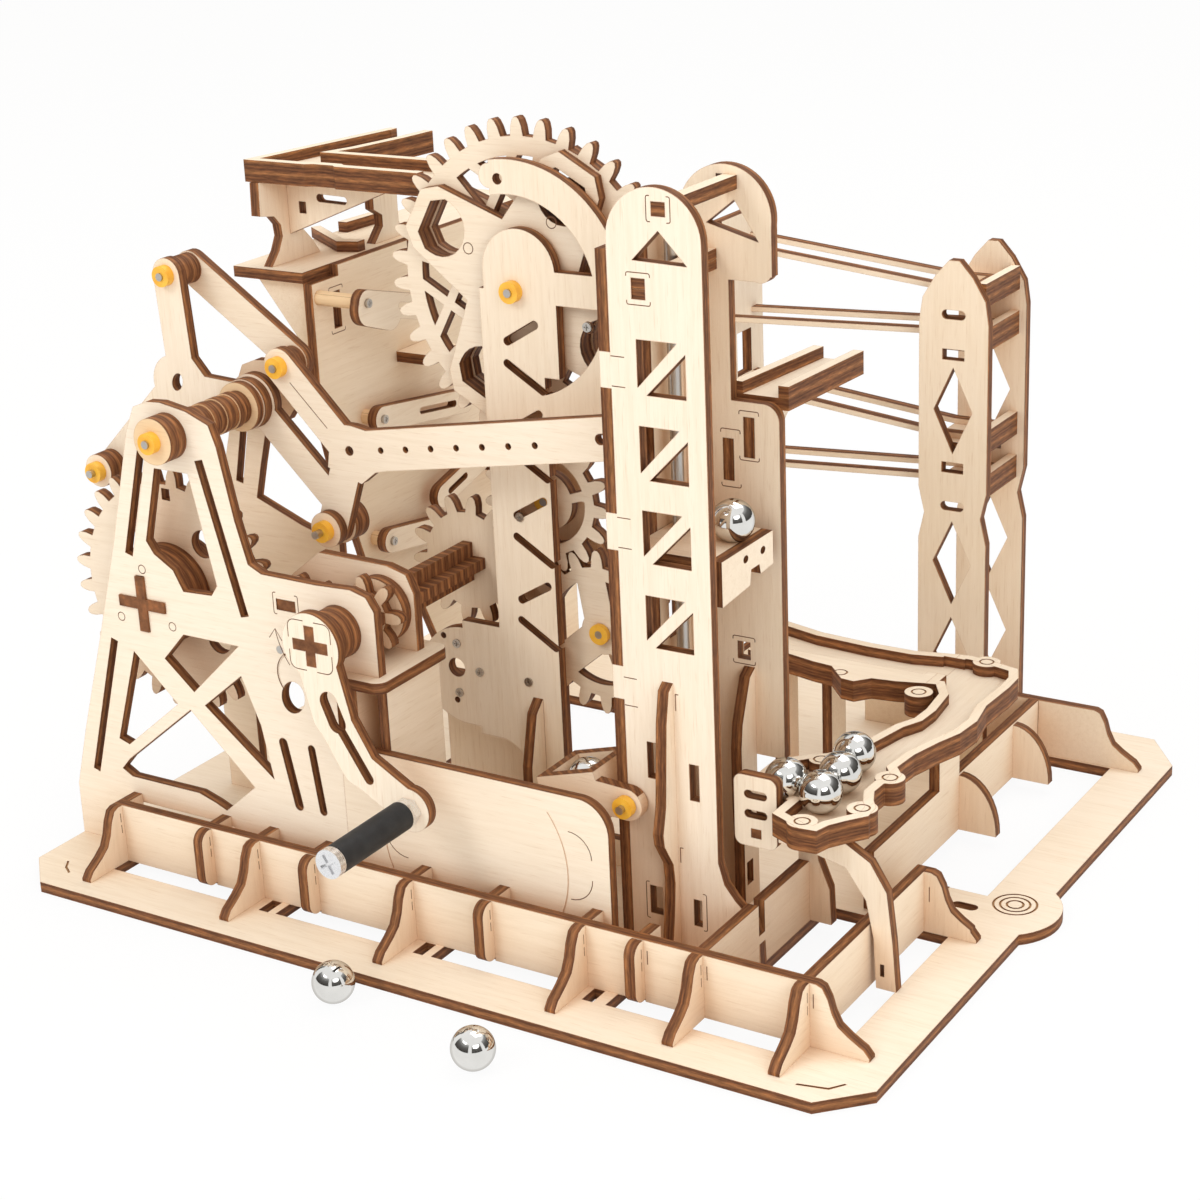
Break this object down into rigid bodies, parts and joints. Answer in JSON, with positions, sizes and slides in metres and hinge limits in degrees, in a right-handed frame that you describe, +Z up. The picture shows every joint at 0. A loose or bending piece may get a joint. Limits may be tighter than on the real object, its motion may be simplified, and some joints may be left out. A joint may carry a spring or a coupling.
{
  "type": "wooden marble run",
  "caption": "Hand cranked marble run of laser cut ply, with a geared lift wheel, a swing lever lift tower, rails, tracks and steel balls.",
  "frame": {"origin": "on the underside of the base plate, at the middle of the front strip", "axes": "+Z up, +X to the right along the front edge, +Y towards the back"},
  "size_m": [0.2474, 0.2269, 0.1857],
  "materials": {
    "ply": "matte, pale birch ply with brown laser cut edges",
    "ply_dark": "matte, laser browned ply washers",
    "steel_rod": "satin",
    "steel_ball": "polished",
    "yellow_ring": "matte",
    "black_grip": "matte"
  },
  "bodies": {
    "frame": {"base_plate": "ply", "front_beam": "ply", "front_ribs": "ply", "short_ribs": "ply", "right_beam_outer": "ply", "inner_beams": "ply", "tray_leg": "ply", "front_frame": "ply", "front_panel": "ply", "inner_frame": "ply", "crank_shelf": "ply", "cross_axle": "ply", "spool": "ply_dark", "gear_wall": "ply", "rear_wall": "ply", "fixed_rods": "steel_rod", "fixed_rings": "yellow_ring", "tower_front": "ply", "tower_back": "ply", "tower_side": "ply", "tower_braces": "ply", "gate_plate": "ply", "rail_tower": "ply", "rail_shelves": "ply", "rails": "ply", "rail_post": "ply", "lower_track_floor": "ply", "lower_track_walls": "ply", "tray_floor": "ply", "tray_walls": "ply", "side_track": "ply", "flipper_wall": "ply", "top_shelf": "ply", "top_post": "ply", "top_track_floor": "ply", "top_track_walls": "ply", "balls": "steel_ball"},
    "crank": {"crank_arm": "ply", "crank_shaft": "ply", "grip_screw": "steel_rod"},
    "grip": {"grip_sleeve": "black_grip"},
    "idler": {"idler_gear": "ply"},
    "drive": {"drive_gear": "ply"},
    "gear_a_body": {"gear_a": "ply"},
    "gear_b_body": {"gear_b": "ply"},
    "wheel": {"lift_wheel": "ply", "wheel_ball": "steel_ball"},
    "lever": {"swing_lever": "ply", "rocker": "ply", "link": "ply", "swing_rings": "yellow_ring", "swing_pins": "steel_rod"},
    "carriage_body": {"carriage": "ply", "carriage_ball": "steel_ball"},
    "flip_1": {"flipper_1": "ply"},
    "flip_2": {"flipper_2": "ply"},
    "flip_3": {"flipper_3": "ply"},
    "flip_4": {"flipper_4": "ply"},
    "bucket_body": {"bucket": "ply", "bucket_ball": "steel_ball"}
  },
  "joints": [
    {"name": "wheel_spin", "type": "hinge", "parent": "frame", "child": "wheel", "pos_m": [-0.0052, 0.0738, 0.1465], "axis": [0, 1, 0], "continuous": true},
    {"name": "crank_spin", "type": "hinge", "parent": "frame", "child": "crank", "pos_m": [-0.0275, 0.021, 0.0745], "axis": [0, 1, 0], "continuous": true},
    {"name": "grip_spin", "type": "hinge", "parent": "crank", "child": "grip", "pos_m": [-0.0025, 0.003, 0.0385], "axis": [0, 1, 0], "continuous": true},
    {"name": "idler_spin", "type": "hinge", "parent": "frame", "child": "idler", "pos_m": [-0.04597, 0.0326, 0.06648], "axis": [0, 1, 0], "continuous": true},
    {"name": "drive_spin", "type": "hinge", "parent": "frame", "child": "drive", "pos_m": [-0.0881, 0.0326, 0.0713], "axis": [0, 1, 0], "continuous": true},
    {"name": "gear_a_spin", "type": "hinge", "parent": "frame", "child": "gear_a_body", "pos_m": [-0.00336, 0.0738, 0.09353], "axis": [0, 1, 0], "continuous": true},
    {"name": "gear_b_spin", "type": "hinge", "parent": "frame", "child": "gear_b_body", "pos_m": [0.01077, 0.0738, 0.06153], "axis": [0, 1, 0], "continuous": true},
    {"name": "lever_swing", "type": "hinge", "parent": "frame", "child": "lever", "pos_m": [-0.074, 0.0526, 0.116], "axis": [0, -1, 0], "range_deg": [-28, 28]},
    {"name": "carriage_lift", "type": "slide", "parent": "frame", "child": "carriage_body", "axis": [0, 0, 1], "range_m": [-0.058, 0.058]},
    {"name": "flipper_1_tilt", "type": "hinge", "parent": "frame", "child": "flip_1", "pos_m": [-0.0602, 0.0804, 0.1354], "axis": [1, 0, 0], "range_deg": [0, 20]},
    {"name": "flipper_2_tilt", "type": "hinge", "parent": "frame", "child": "flip_2", "pos_m": [-0.0694, 0.0955, 0.1001], "axis": [1, 0, 0], "range_deg": [0, 18]},
    {"name": "flipper_3_tilt", "type": "hinge", "parent": "frame", "child": "flip_3", "pos_m": [-0.0694, 0.139, 0.0765], "axis": [1, 0, 0], "range_deg": [-25, 0]},
    {"name": "flipper_4_tilt", "type": "hinge", "parent": "frame", "child": "flip_4", "pos_m": [-0.0694, 0.0955, 0.0664], "axis": [1, 0, 0], "range_deg": [-25, 0]},
    {"name": "bucket_tip", "type": "hinge", "parent": "frame", "child": "bucket_body", "pos_m": [0.0399, 0.0363, 0.0379], "axis": [0, 1, 0], "range_deg": [-10, 4]}
  ],
  "couplings": [
    {"joint": "crank_spin", "follows": "wheel_spin", "ratio": 2.5},
    {"joint": "gear_a_spin", "follows": "wheel_spin", "ratio": -2.3333},
    {"joint": "gear_b_spin", "follows": "wheel_spin", "ratio": 1.9444},
    {"joint": "idler_spin", "follows": "wheel_spin", "ratio": -1.4583},
    {"joint": "drive_spin", "follows": "wheel_spin", "ratio": 0.625},
    {"joint": "carriage_lift", "follows": "lever_swing", "m_per_rad": 0.116}
  ]
}
